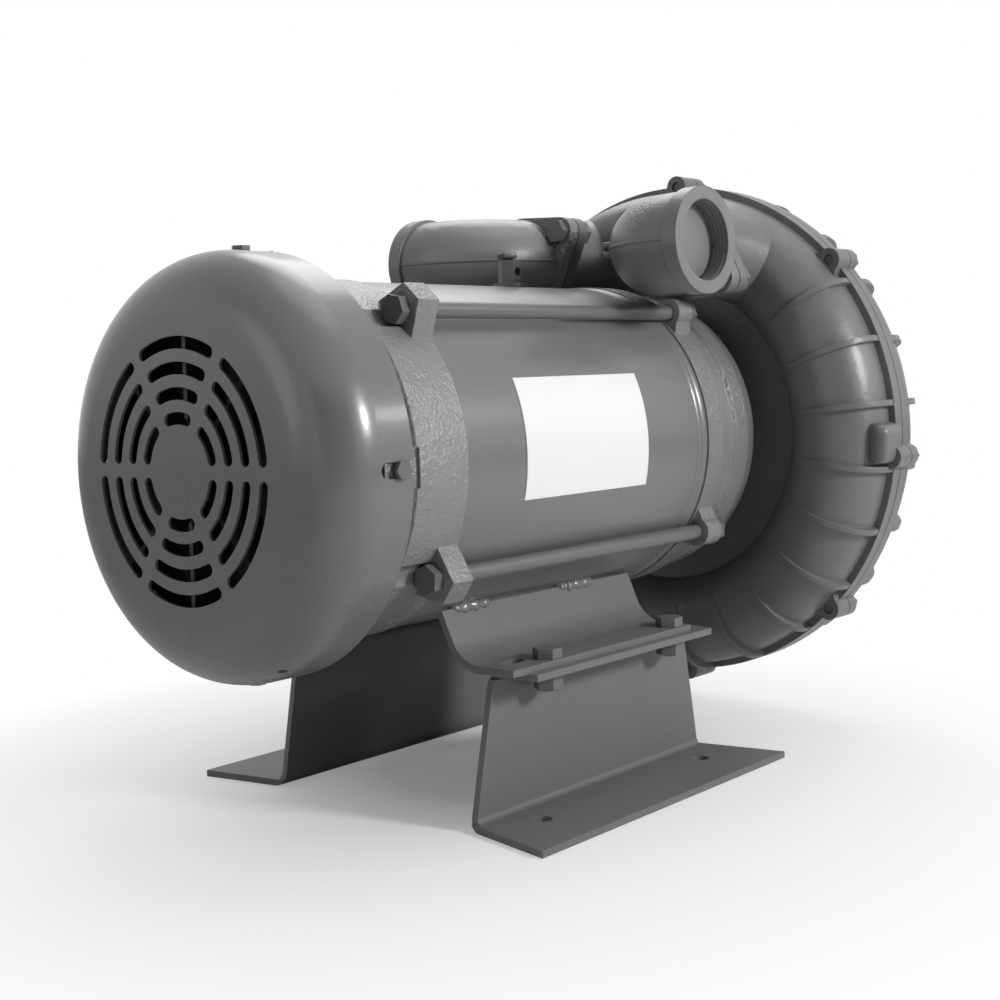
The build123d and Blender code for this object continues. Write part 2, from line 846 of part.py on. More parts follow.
# Impeller: a hub and disc whose rim carries vanes on both sides of a tapering web
with BuildPart() as impeller:
    with BuildSketch(axial_plane(90)):
        with BuildLine():
            Polyline(
                (impeller_start, impeller_hub_bore),
                (impeller_start, impeller_hub_radius),
                (impeller_mid - impeller_web, impeller_hub_radius + impeller_web),
                (impeller_mid - impeller_web, vane_root - impeller_rim),
                (impeller_start, vane_root - impeller_rim),
                (impeller_start, vane_root),
            )
            pocket_rim = (impeller_mid - impeller_edge, impeller_radius)
            ThreePointArc(
                (impeller_start, vane_root),
                (impeller_mid - impeller_web, vane_root + impeller_pocket),
                pocket_rim,
            )
            Line(pocket_rim, (impeller_mid, impeller_radius))
            Line((impeller_mid, impeller_radius), (impeller_mid, impeller_hub_bore))
            Line((impeller_mid, impeller_hub_bore), (impeller_start, impeller_hub_bore))
        make_face()
        mirror(about=Plane.YZ.offset(impeller_mid), mode=Mode.ADD)
    revolve(axis=motor_axis)
    with BuildSketch(station(impeller_start)):
        with PolarLocations((vane_root + impeller_radius) / 2 - impeller_rim / 2, vane_count):
            Rectangle(impeller_radius - vane_root + impeller_rim, vane_wall)
    extrude(amount=impeller_width)
    with BuildSketch(station(impeller_start)):
        with Locations((0, drive_radius)):
            Rectangle(key_width, key_height)
    extrude(amount=impeller_width, mode=Mode.SUBTRACT)
save(impeller.part, "impeller")

# Key, washer and bolt that hold the impeller on the shaft
with BuildPart() as impeller_key:
    with BuildSketch(station(impeller_start)):
        with Locations((0, drive_radius)):
            Rectangle(key_width - 2 * key_gap, key_height - 2 * key_gap)
    extrude(amount=impeller_width)
save(impeller_key.part, "impeller_key")

washer_end = impeller_end + impeller_washer_wall
washer_bore = impeller_bolt_radius + sheet_gap
impeller_washer = flat_rings(
    [station(impeller_end)], impeller_washer_radius, washer_bore, impeller_washer_wall
)
save(impeller_washer, "impeller_washer")
impeller_bolt_shank = washer_end - shaft_tip + impeller_bolt_depth - bolt_end_gap
impeller_bolt = hex_fasteners(
    [station(washer_end)],
    impeller_bolt_flats,
    impeller_bolt_head,
    impeller_bolt_radius,
    impeller_bolt_shank,
)
save(impeller_bolt, "impeller_bolt")

# Shared places on the two castings
torus_outer = channel_circle + torus_radius
cavity_radius = channel_circle + channel_radius
web_x = land_x - web_wall
rim_rear_x = joint_x - rim_thickness
rim_ear_length = rim_thickness + rim_ear_back
rim_bolt_clear = rim_bolt_radius + seat_gap
housing_rib_angles = [
    rib_phase + 360 / rib_count * k
    for k in range(rib_count)
    if not port_zone_start < rib_phase + 360 / rib_count * k < port_zone_end
]
cover_rib_angles = [rib_phase + 360 / rib_count * k for k in range(rib_count)]
port_z = shaft_height + port_rise


def rim_circles(x, radius):
    """Circles at the bolts of the rim."""
    with BuildSketch(station(x)) as circles:
        for angle in rim_ear_angles:
            with PolarLocations(rim_bolt_circle, 1, start_angle=angle):
                Circle(radius)
    return circles.sketch


def rim_ears(x):
    """Round ended ears at the bolts of the rim, wider at their root."""
    with BuildSketch(station(x)) as ears:
        for angle in rim_ear_angles:
            with PolarLocations(0, 1, start_angle=angle):
                Polygon(
                    (rim_ear_root, -rim_ear_base),
                    (rim_bolt_circle, -rim_ear_radius),
                    (rim_bolt_circle, rim_ear_radius),
                    (rim_ear_root, rim_ear_base),
                    align=None,
                )
            with PolarLocations(rim_bolt_circle, 1, start_angle=angle):
                Circle(rim_ear_radius)
    return ears.sketch


def rib_profiles(angles, center_x, inward):
    """Ribs that fade out over the channel's back; inward is +1 on the housing, -1 on the cover."""
    rim_side = center_x + inward * (rim_rear_x - land_x)
    planes = [axial_plane(angle) for angle in angles]
    with BuildSketch(*planes) as ribs:
        with Locations((center_x, channel_circle + rib_shift)):
            Circle(torus_radius + rib_height)
        with Locations((center_x, channel_circle)):
            Circle((channel_radius + torus_radius) / 2, mode=Mode.SUBTRACT)
        with Locations((rim_side + inward * torus_radius, channel_circle)):
            Rectangle(2 * torus_radius, 4 * torus_radius, mode=Mode.SUBTRACT)
        with Locations((center_x + inward * torus_radius, channel_circle - torus_radius)):
            Rectangle(2 * torus_radius, 2 * torus_radius, mode=Mode.SUBTRACT)
    return ribs.sketch


def port_plane(x, side):
    """Plane across a port at x; side is -1 for the near port and +1 for the far one."""
    return Plane(origin=(x, side * port_half_spread, port_z), x_dir=(0, 1, 0), z_dir=(1, 0, 0))


def ear_places(side):
    """The two bolt places of a port flange, measured from the port's centre."""
    lean = radians(flange_ear_tilt)
    across = side * flange_ear_offset * cos(lean)
    rise = flange_ear_offset * sin(lean)
    return [(across, -rise), (-across, rise)]


def port_flange(x, side):
    """Two eared flange outline with its bore and bolt holes left out."""
    with BuildSketch(port_plane(x, side)) as outline:
        Circle(flange_radius)
        with Locations(*ear_places(side)):
            Circle(flange_ear_radius)
        make_hull()
    return outline.sketch


def port_holes(x, side):
    """Bore and bolt holes of a port flange."""
    with BuildSketch(port_plane(x, side)) as holes:
        Circle(port_bore)
        with Locations(*ear_places(side)):
            Circle(flange_bolt_radius + seat_gap)
    return holes.sketch


# Blower housing: the motor side half of the side channel, with its two ports
housing_hub_bore = sleeve_radius + shaft_clearance
seal_end = seal_start + seal_width
web_join = channel_circle - sqrt(torus_radius**2 - web_wall**2)
mount_bore = pilot_radius + seat_gap
with BuildPart() as blower_housing:
    with BuildSketch(axial_plane(90)):
        with BuildLine():
            Polyline(
                (land_x, torus_outer),
                (rim_rear_x, torus_outer),
                (rim_rear_x, rim_radius),
                (joint_x, rim_radius),
                (joint_x, cavity_radius),
                (land_x, cavity_radius),
                (land_x, housing_hub_bore),
                (seal_end, housing_hub_bore),
                (seal_end, seal_outer + sheet_gap),
                (seal_start, seal_outer + sheet_gap),
                (seal_start, seal_outer + hub_wall),
                (web_x, seal_outer + hub_wall),
                (web_x, mount_bore),
                (front_face, mount_bore),
                (front_face, mount_flange_radius),
                (front_face + mount_flange_wall, mount_flange_radius),
                (front_face + mount_flange_wall, neck_outer),
                (web_x, neck_outer),
                (web_x, web_join),
            )
            ThreePointArc(
                (web_x, web_join),
                (land_x - torus_radius, channel_circle),
                (land_x, torus_outer),
            )
        make_face()
    revolve(axis=motor_axis)
    extrude(rib_profiles(housing_rib_angles, land_x, 1), amount=rib_wall / 2, both=True)
    extrude(rim_ears(joint_x), amount=-rim_ear_length)
    for side in (-1, 1):
        with BuildSketch(port_plane(port_face_x, side)):
            Circle(port_outer)
        extrude(amount=land_x - port_face_x)
        extrude(port_flange(port_face_x, side), amount=flange_wall)
        with BuildSketch(port_plane(fairing_start, side)):
            Circle(port_outer)
        tangent = degrees(atan2(-side * port_half_spread, port_rise))
        with BuildSketch(port_plane(land_x - channel_radius / 2, side)):
            Ellipse(fairing_tangential, fairing_radial, rotation=tangent)
        loft()
    with BuildSketch(axial_plane(90 + stripper_half_angle)):
        with Locations((land_x, channel_circle)):
            Circle(channel_radius)
        with Locations((land_x + channel_radius, channel_circle)):
            Rectangle(2 * channel_radius, 2 * channel_radius, mode=Mode.SUBTRACT)
    revolve(axis=motor_axis, revolution_arc=360 - 2 * stripper_half_angle, mode=Mode.SUBTRACT)
    for side in (-1, 1):
        with BuildSketch(port_plane(port_face_x, side)):
            Circle(port_bore)
        extrude(amount=land_x - channel_radius / 2 - port_face_x, mode=Mode.SUBTRACT)
        extrude(port_holes(port_face_x, side), amount=flange_wall, mode=Mode.SUBTRACT)
    extrude(rim_circles(joint_x, rim_bolt_clear), amount=-rim_ear_length, mode=Mode.SUBTRACT)
    with BuildSketch(station(front_face)):
        with PolarLocations(face_bolt_circle, face_bolt_count, start_angle=face_bolt_phase):
            Circle(face_bolt_radius + seat_gap)
    extrude(amount=mount_flange_wall, mode=Mode.SUBTRACT)
save(blower_housing.part, "blower_housing")

# Blower cover: the closed half of the side channel
cover_web_x = cover_land_x + cover_web_wall
cover_web_join = channel_circle - sqrt(torus_radius**2 - cover_web_wall**2)
cover_rim_x = cover_joint_x + rim_thickness
with BuildPart() as blower_cover:
    with BuildSketch(axial_plane(90)):
        with BuildLine():
            Polyline(
                (cover_land_x, torus_outer),
                (cover_rim_x, torus_outer),
                (cover_rim_x, rim_radius),
                (cover_joint_x, rim_radius),
                (cover_joint_x, cavity_radius),
                (cover_land_x, cavity_radius),
                (cover_land_x, dome_pocket_radius),
                (cover_land_x + dome_pocket_depth, dome_pocket_radius),
                (cover_land_x + dome_pocket_depth, 0),
                (cover_land_x + dome_reach, 0),
                (cover_land_x + dome_reach, dome_radius - dome_taper),
                (cover_web_x, dome_radius),
                (cover_web_x, cover_web_join),
            )
            ThreePointArc(
                (cover_web_x, cover_web_join),
                (cover_land_x + torus_radius, channel_circle),
                (cover_land_x, torus_outer),
            )
        make_face()
    revolve(axis=motor_axis)
    extrude(rib_profiles(cover_rib_angles, cover_land_x, -1), amount=rib_wall / 2, both=True)
    extrude(rim_ears(cover_joint_x), amount=rim_thickness)
    with BuildSketch(axial_plane(90 + stripper_half_angle)):
        with Locations((cover_land_x, channel_circle)):
            Circle(channel_radius)
        with Locations((cover_land_x - channel_radius, channel_circle)):
            Rectangle(2 * channel_radius, 2 * channel_radius, mode=Mode.SUBTRACT)
    revolve(axis=motor_axis, revolution_arc=360 - 2 * stripper_half_angle, mode=Mode.SUBTRACT)
    extrude(rim_circles(cover_joint_x, rim_bolt_clear), amount=rim_thickness, mode=Mode.SUBTRACT)
    extrude(rim_circles(cover_rim_x, rim_spot_radius), amount=torus_radius, mode=Mode.SUBTRACT)
save(blower_cover.part, "blower_cover")

# Gasket and bolts of the rim
with BuildPart() as cover_gasket:
    with BuildSketch(station(joint_x)):
        Circle(rim_radius)
        Circle(cavity_radius, mode=Mode.SUBTRACT)
    extrude(amount=gasket_thickness)
    extrude(rim_ears(joint_x), amount=gasket_thickness)
    extrude(rim_circles(joint_x, rim_bolt_clear), amount=gasket_thickness, mode=Mode.SUBTRACT)
save(cover_gasket.part, "cover_gasket")

rim_bolt_planes = [polar_plane(cover_rim_x, rim_bolt_circle, angle, 1) for angle in rim_ear_angles]
rim_bolt_shank = cover_rim_x - joint_x + rim_ear_length - rim_bolt_short
rim_bolts = hex_fasteners(
    rim_bolt_planes, rim_bolt_flats, rim_bolt_head, rim_bolt_radius, rim_bolt_shank
)
save(rim_bolts, "rim_bolts")

# Bolts that hold the housing to the motor face
mount_bolt_x = front_face + mount_flange_wall
mount_bolt_planes = [
    polar_plane(mount_bolt_x, face_bolt_circle, face_bolt_phase + 360 / face_bolt_count * k, 1)
    for k in range(face_bolt_count)
]
mount_bolt_shank = mount_flange_wall + face_thread_depth - bolt_end_gap
mount_bolts = hex_fasteners(
    mount_bolt_planes, mount_bolt_flats, mount_bolt_head, face_bolt_radius, mount_bolt_shank
)
save(mount_bolts, "mount_bolts")

# Elbows: the near one opens towards -Y, and the far one is its mirror image
collar_y = -port_half_spread - elbow_reach
collar_plane = Plane(origin=(elbow_corner_x, collar_y, port_z), x_dir=(1, 0, 0), z_dir=(0, 1, 0))
elbow_route = [
    (elbow_corner_x, collar_y),
    (elbow_corner_x, -port_half_spread),
    (elbow_flange_x, -port_half_spread),
]
with BuildPart() as elbow_near:
    with BuildLine(Plane.XY.offset(port_z)) as elbow_path:
        FilletPolyline(*elbow_route, radius=elbow_bend)
    with BuildSketch(collar_plane):
        Circle(elbow_radius)
    sweep(path=elbow_path.wire())
    with BuildSketch(collar_plane):
        Circle(collar_radius)
    extrude(amount=collar_length)
    extrude(port_flange(elbow_flange_x, -1), amount=-flange_wall)
    with BuildSketch(Plane.XY.offset(port_z - parting_wall / 2)):
        with BuildLine():
            FilletPolyline(*elbow_route, radius=elbow_bend)
        trace(line_width=2 * (elbow_radius + parting_proud))
    extrude(amount=parting_wall)
    with BuildSketch(collar_plane):
        Circle(port_bore)
    sweep(path=elbow_path.wire(), mode=Mode.SUBTRACT)
    with BuildSketch(collar_plane):
        Circle(thread_radius)
    extrude(amount=thread_depth, mode=Mode.SUBTRACT)
    extrude(port_holes(elbow_flange_x, -1), amount=-flange_wall, mode=Mode.SUBTRACT)
save(elbow_near.part, "elbow_near")

with BuildPart() as elbow_far:
    mirror(elbow_near.part, about=Plane.XZ)
save(elbow_far.part, "elbow_far")

with BuildPart() as elbow_gaskets:
    for side in (-1, 1):
        extrude(port_flange(elbow_flange_x, side), amount=elbow_gasket)
        extrude(port_holes(elbow_flange_x, side), amount=elbow_gasket, mode=Mode.SUBTRACT)
save(elbow_gaskets.part, "elbow_gaskets")

elbow_bolt_x = elbow_flange_x - flange_wall
elbow_nut_x = port_face_x + flange_wall
elbow_bolt_planes = []
elbow_nut_planes = []
for side in (-1, 1):
    for across, rise in ear_places(side):
        place_y = side * port_half_spread + across
        place_z = port_z + rise
        elbow_bolt_planes.append(
            Plane(origin=(elbow_bolt_x, place_y, place_z), x_dir=(0, 1, 0), z_dir=(-1, 0, 0))
        )
        elbow_nut_planes.append(
            Plane(origin=(elbow_nut_x, place_y, place_z), x_dir=(0, 1, 0), z_dir=(1, 0, 0))
        )
elbow_bolt_shank = elbow_nut_x - elbow_bolt_x + flange_nut_height + bolt_end_gap
elbow_bolts = hex_fasteners(
    elbow_bolt_planes, flange_bolt_flats, flange_bolt_head, flange_bolt_radius, elbow_bolt_shank
)
save(elbow_bolts, "elbow_bolts")
elbow_nuts = hex_nuts(
    elbow_nut_planes, flange_bolt_flats, flange_nut_height, flange_bolt_radius + sheet_gap
)
save(elbow_nuts, "elbow_nuts")

# Far stand: one flared sheet, folded into foot, web and top flange; the near one mirrors it
half_sheet = sheet / 2
web_top_y = stand_web_y + stand_web_lean
stand_route = [
    (stand_foot_y, half_sheet),
    (stand_web_y + half_sheet, half_sheet),
    (web_top_y + half_sheet, stand_top_z - half_sheet),
    (stand_flange_y, stand_top_z - half_sheet),
]
foot_end_half = stand_half_length + stand_flare * (stand_foot_y - stand_web_y)
web_top_half = stand_half_length - stand_flare * stand_top_z
flange_end_half = web_top_half - stand_flare * (stand_flange_y - web_top_y)
cut_reach = 2 * sheet
with BuildPart() as stand_far:
    with BuildSketch(Plane.YZ):
        with BuildLine():
            FilletPolyline(*stand_route, radius=sheet_bend)
        trace(line_width=sheet)
    extrude(amount=foot_end_half, both=True)
    with BuildSketch(Plane.XY):
        Polygon(
            (stand_half_length, stand_web_y - cut_reach),
            (stand_half_length, stand_web_y),
            (foot_end_half, stand_foot_y),
            (foot_end_half + cut_reach, stand_foot_y),
            (foot_end_half + cut_reach, stand_web_y - cut_reach),
            align=None,
        )
        mirror(about=Plane.YZ)
    extrude(amount=sheet, mode=Mode.SUBTRACT)
    with BuildSketch(Plane.XZ.offset(-stand_web_y + cut_reach)):
        Polygon(
            (stand_half_length - stand_flare * sheet, sheet),
            (web_top_half + stand_flare * sheet, stand_top_z - sheet),
            (foot_end_half + cut_reach, stand_top_z - sheet),
            (foot_end_half + cut_reach, sheet),
            align=None,
        )
        mirror(about=Plane.YZ)
    extrude(amount=-stand_foot_y + stand_web_y - cut_reach, mode=Mode.SUBTRACT)
    with BuildSketch(Plane.XY.offset(stand_top_z - sheet)):
        Polygon(
            (web_top_half, stand_web_y - cut_reach),
            (web_top_half, web_top_y),
            (flange_end_half, stand_flange_y),
            (foot_end_half + cut_reach, stand_flange_y),
            (foot_end_half + cut_reach, stand_web_y - cut_reach),
            align=None,
        )
        mirror(about=Plane.YZ)
    extrude(amount=sheet, mode=Mode.SUBTRACT)
    with BuildSketch(Plane.XY):
        with Locations((foot_hole_x, foot_hole_y), (-foot_hole_x, foot_hole_y)):
            Circle(foot_hole_radius)
    extrude(amount=sheet, mode=Mode.SUBTRACT)
    with BuildSketch(Plane.XY.offset(stand_top_z)):
        with Locations((saddle_bolt_x, saddle_bolt_y), (-saddle_bolt_x, saddle_bolt_y)):
            Circle(saddle_bolt_radius + seat_gap)
    extrude(amount=-sheet, mode=Mode.SUBTRACT)
save(stand_far.part, "stand_far")

with BuildPart() as stand_near:
    mirror(stand_far.part, about=Plane.XZ)
save(stand_near.part, "stand_near")

# Far saddle: a curved sheet from its wing up to the shell, with weld beads; the near one mirrors it
saddle_top_half = saddle_half_length + saddle_flare * (saddle_corner_y - saddle_top_y)
saddle_route = [
    (saddle_wing_y, stand_top_z + half_sheet),
    (saddle_corner_y, stand_top_z + half_sheet),
    (saddle_top_y, saddle_top_z),
]
saddle_plane = Plane.YZ.offset(saddle_center_x)
with BuildPart() as saddle_far:
    with BuildSketch(saddle_plane):
        with BuildLine():
            FilletPolyline(*saddle_route, radius=saddle_bend)
        trace(line_width=sheet)
    extrude(amount=saddle_top_half, both=True)
    with BuildSketch(Plane.XY):
        Polygon(
            (saddle_center_x + saddle_half_length, saddle_wing_y),
            (saddle_center_x + saddle_top_half, saddle_top_y - cut_reach),
            (saddle_center_x + saddle_top_half + cut_reach, saddle_top_y - cut_reach),
            (saddle_center_x + saddle_top_half + cut_reach, saddle_wing_y),
            align=None,
        )
        mirror(about=Plane.YZ.offset(saddle_center_x))
    extrude(amount=shaft_height, mode=Mode.SUBTRACT)
    for x in bead_x:
        with BuildSketch(Plane.YZ.offset(x)):
            with Locations((saddle_top_y, saddle_top_z)):
                Circle(bead_radius)
        extrude(amount=bead_length)
    with BuildSketch(station(shell_start)):
        Circle(shell_radius + seat_gap)
    extrude(amount=shell_length, mode=Mode.SUBTRACT)
    with BuildSketch(Plane.XY.offset(stand_top_z)):
        with Locations((saddle_bolt_x, saddle_bolt_y), (-saddle_bolt_x, saddle_bolt_y)):
            Circle(saddle_bolt_radius + seat_gap)
        with Locations((spare_hole_x, spare_hole_y)):
            SlotOverall(spare_hole_length, 2 * saddle_bolt_radius)
    extrude(amount=sheet, mode=Mode.SUBTRACT)
save(saddle_far.part, "saddle_far")

with BuildPart() as saddle_near:
    mirror(saddle_far.part, about=Plane.XZ)
save(saddle_near.part, "saddle_near")

# Bolts, washers and nuts that clamp the saddles to the stands
wing_top_z = stand_top_z + sheet
flange_under_z = stand_top_z - sheet
saddle_bolt_places = [
    (x, y) for x in (-saddle_bolt_x, saddle_bolt_x) for y in (-saddle_bolt_y, saddle_bolt_y)
]
saddle_bolt_planes = [Plane(origin=(x, y, wing_top_z)) for x, y in saddle_bolt_places]
washer_planes = [
    Plane(origin=(x, y, flange_under_z), x_dir=(1, 0, 0), z_dir=(0, 0, -1))
    for x, y in saddle_bolt_places
]
saddle_nut_planes = [
    Plane(origin=(x, y, flange_under_z - washer_wall), x_dir=(1, 0, 0), z_dir=(0, 0, -1))
    for x, y in saddle_bolt_places
]
saddle_bolt_shank = 2 * sheet + washer_wall + flange_nut_height + bolt_end_gap
saddle_bolts = hex_fasteners(
    saddle_bolt_planes, flange_bolt_flats, flange_bolt_head, saddle_bolt_radius, saddle_bolt_shank
)
save(saddle_bolts, "saddle_bolts")
nut_bore = saddle_bolt_radius + sheet_gap
saddle_washers = flat_rings(washer_planes, washer_radius, nut_bore, washer_wall)
save(saddle_washers, "saddle_washers")
saddle_nuts = hex_nuts(saddle_nut_planes, flange_bolt_flats, flange_nut_height, nut_bore)
save(saddle_nuts, "saddle_nuts")

# Bare rating label, rolled onto the near side of the shell
with BuildPart() as rating_label:
    with BuildSketch(axial_plane(label_start_angle)):
        with Locations((label_start_x, shell_radius + sheet_gap / 2)):
            Rectangle(label_width, label_thickness, align=(Align.MIN, Align.MIN))
    revolve(axis=motor_axis, revolution_arc=label_angle)
save(rating_label.part, "rating_label")

# Hex plug on a small welded base, on top of the shell
plug_base_z = shaft_height + shell_radius + plug_base_height
with BuildPart() as shell_plug:
    with BuildSketch(Plane.XY.offset(plug_base_z)):
        with Locations((plug_x, 0)):
            Circle(plug_base_radius)
    extrude(amount=-plug_base_radius)
    with BuildSketch(station(shell_start)):
        Circle(shell_radius + sheet_gap / 2)
    extrude(amount=shell_length, mode=Mode.SUBTRACT)
    with BuildSketch(Plane.XY.offset(plug_base_z)):
        with Locations((plug_x, 0)):
            RegularPolygon(radius=plug_flat / 2, side_count=6, major_radius=False)
    extrude(amount=plug_height)
    with BuildSketch(Plane.XZ):
        with Locations((plug_x, plug_base_z + plug_height / 2)):
            Circle(plug_hole)
    extrude(amount=plug_flat, both=True, mode=Mode.SUBTRACT)
save(shell_plug.part, "shell_plug")


def box_plane(y):
    """Plane of the conduit box at y, facing the far side."""
    return Plane(origin=(box_x, y, shaft_height), x_dir=(-1, 0, 0), z_dir=(0, 1, 0))


# Conduit box on the far side of the shell, with its neck, cover, screws and terminal board
box_screw_x = box_length / 2 - box_corner
box_screw_z = box_height / 2 - box_corner
box_screw_places = [
    (x, z) for x in (-box_screw_x, box_screw_x) for z in (-box_screw_z, box_screw_z)
]
box_bore_length = box_length - 2 * box_wall
box_bore_height = box_height - 2 * box_wall
with BuildPart() as conduit_box:
    with BuildSketch(box_plane(box_y)):
        RectangleRounded(box_length, box_height, box_corner)
    extrude(amount=box_depth)
    with BuildSketch(box_plane(box_y + box_wall)):
        RectangleRounded(box_bore_length, box_bore_height, box_corner - box_wall)
    extrude(amount=box_depth - box_wall, mode=Mode.SUBTRACT)
    with BuildSketch(box_plane(box_y + box_wall)):
        with Locations(*box_screw_places):
            Circle(box_corner - box_wall / 2)
    extrude(amount=box_depth - box_wall)
    with BuildSketch(box_plane(box_y)):
        Circle(box_neck_radius)
    extrude(amount=-box_neck_reach)
    with BuildSketch(station(shell_start)):
        Circle(shell_radius + seat_gap)
    extrude(amount=shell_length, mode=Mode.SUBTRACT)
    with BuildSketch(box_plane(box_y + box_wall)):
        Circle(box_neck_bore)
    extrude(amount=-box_neck_reach - box_wall, mode=Mode.SUBTRACT)
    with BuildSketch(Plane.YZ.offset(box_x - box_length / 2)):
        with Locations((box_y + box_depth - conduit_set, shaft_height - conduit_drop)):
            Circle(conduit_radius)
    extrude(amount=box_wall, mode=Mode.SUBTRACT)
    with BuildSketch(box_plane(box_y + box_depth)):
        with Locations(*box_screw_places):
            Circle(box_screw_radius + seat_gap)
    extrude(amount=-box_screw_length, mode=Mode.SUBTRACT)
save(conduit_box.part, "conduit_box")

box_cover_y = box_y + box_depth
with BuildPart() as conduit_cover:
    with BuildSketch(box_plane(box_cover_y)):
        RectangleRounded(box_length, box_height, box_corner)
    extrude(amount=box_wall)
    with BuildSketch(box_plane(box_cover_y + box_wall)):
        RectangleRounded(box_bore_length - 4 * box_corner, box_bore_height, box_corner)
    extrude(amount=box_wall, taper=30)
    with BuildSketch(box_plane(box_cover_y)):
        with Locations(*box_screw_places):
            Circle(box_screw_radius + seat_gap)
    extrude(amount=box_wall, mode=Mode.SUBTRACT)
save(conduit_cover.part, "conduit_cover")

box_screw_planes = [
    Plane(
        origin=(box_x + x, box_cover_y + box_wall, shaft_height + z),
        x_dir=(1, 0, 0),
        z_dir=(0, 1, 0),
    )
    for x, z in box_screw_places
]
conduit_screws = hex_fasteners(
    box_screw_planes,
    box_screw_flats,
    box_screw_head,
    box_screw_radius,
    box_wall + box_screw_length - bolt_end_gap,
)
save(conduit_screws, "conduit_screws")

with BuildPart() as terminal_board:
    with BuildSketch(box_plane(box_y + box_wall)):
        RectangleRounded(board_length, board_height, board_corner)
        with Locations((0, board_hole_rise)):
            Circle(board_hole, mode=Mode.SUBTRACT)
    extrude(amount=board_wall)
    with BuildSketch(box_plane(box_y + box_wall + board_wall)):
        with Locations((0, -board_height / 4)):
            with GridLocations(board_pitch, board_pitch, 3, 2):
                Circle(board_stud)
    extrude(amount=board_stud_reach)
save(terminal_board.part, "terminal_board")
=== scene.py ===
# Looks of the side channel blower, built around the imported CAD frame. Metres.
# +X runs along the shaft from the fan end to the blower end, +Z is up, -Y is the near side.
import bpy
import bmesh
from math import cos, degrees, exp, pi, radians, sin
from mathutils import Matrix, Vector, noise


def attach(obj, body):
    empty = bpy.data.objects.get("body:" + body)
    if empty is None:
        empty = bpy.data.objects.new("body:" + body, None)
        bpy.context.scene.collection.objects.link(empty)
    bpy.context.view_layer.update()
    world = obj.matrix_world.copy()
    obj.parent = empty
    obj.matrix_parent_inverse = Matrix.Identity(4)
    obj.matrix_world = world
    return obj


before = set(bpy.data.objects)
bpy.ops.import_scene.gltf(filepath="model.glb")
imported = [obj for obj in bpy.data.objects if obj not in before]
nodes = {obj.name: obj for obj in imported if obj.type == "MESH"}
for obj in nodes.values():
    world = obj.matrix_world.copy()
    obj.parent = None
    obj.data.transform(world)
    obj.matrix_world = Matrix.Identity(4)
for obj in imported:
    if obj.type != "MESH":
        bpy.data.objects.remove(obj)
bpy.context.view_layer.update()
scene = bpy.context.scene
scene.view_settings.view_transform = "Standard"
BODY = "machine"

# Machine sizes that the detail pieces share with the CAD model
SHAFT_Z = 0.182
SHELL_R = 0.089
PORT_X, PORT_Y, PORT_Z = 0.065, 0.108, 0.291
THREAD_R = 0.0222
BEND_X, BEND_Y = 0.103, 0.096
BEND_OUTER = 0.0656
SADDLE_EDGE_Y, SADDLE_EDGE_Z = 0.0465, 0.1045
RING_X, RING_R, TUBE_R = 0.1940, 0.12347, 0.0290
RIB_COUNT, RIB_STEP, RIB_START = 25, 14.4, 1.5
RIB_LIFT, RIB_SHIFT = 0.0014, 0.0026
PORT_ZONE = (33.0, 140.0)

# Sizes of the pieces that only the scene has
BEAD_START, BEAD_LENGTH, BEAD_LIFT = 0.0800, 0.0095, 0.0008
BEAD_STEPS, BEAD_SEAT, BEAD_ROOT = 24, 0.0001, 0.0003
PLUG_SET_BACK, PLUG_THICK, PLUG_EDGE, PLUG_PLAY = 0.0112, 0.0060, 0.0010, 0.0002
THREAD_PITCH, THREAD_TURNS, THREAD_RIDGE = 0.0022, 4, 0.0004
THREAD_INSET, THREAD_SUNK = 0.0010, 0.0002
TAB_OUT_X, TAB_OUT_Y = 0.495, 0.869
TAB_SIZE = (0.0070, 0.0085, 0.0034)
TAB_RISE, TAB_LIFT, TAB_ROUND = 0.0026, 0.0006, 0.0009
WELD_SPANS = [(-0.083, -0.054), (0.001, 0.029)]
WELD_R, WELD_WAVE, WELD_LUMP, WELD_LEAST = 0.0034, 0.0006, 0.0009, 0.0004
FILLET_ROWS, FILLET_START, FILLET_STEP = 21, -32.0, 5.2
FILLET_HALF, FILLET_SPREAD, FILLET_CLIMB = 0.0065, 0.45, 0.75
FILLET_EDGE, FILLET_SUNK = 0.0002, 0.0008
BOSS_ANGLE, BOSS_HALF, BOSS_TOP_R = 183.0, 0.0125, 0.1600
BOSS_ROWS, BOSS_START, BOSS_STEP, BOSS_NOSE = 16, 43.0, 2.4, 12.0
BOSS_EDGE, BOSS_SUNK, BOSS_STEEPEST = 0.0008, 0.0012, 0.35
PATCH_STEPS = 12

# Camera at the photograph's viewing angle
CAMERA_PLACE = Vector((-0.62480, -0.55938, 0.22301))
YAW, PITCH, ROLL = radians(41.19), radians(-1.84), radians(-1.87)
FOCAL_PX, CENTRE_X, CENTRE_Y, IMAGE = 1495.83, 501.28, 419.59, 1000.0
SENSOR = 36.0
CLIP_START, CLIP_END = 0.01, 50.0

# Each lamp: azimuth and elevation in degrees, distance, diameter, and power in watts
LAMPS = {
    "lamp": (-77.0, 22.0, 1.30, 0.24, 10.3),
    "glint": (-50.0, 20.0, 1.40, 0.14, 1.0),
    "overhead": (-20.0, 78.0, 1.60, 1.20, 4.8),
    "rear_top": (40.0, 50.0, 1.50, 0.90, 5.6),
    "left": (165.0, 18.0, 1.80, 0.90, 2.6),
}
LIT_POINT = Vector((0.0, 0.0, 0.16))
AMBIENT = 0.19

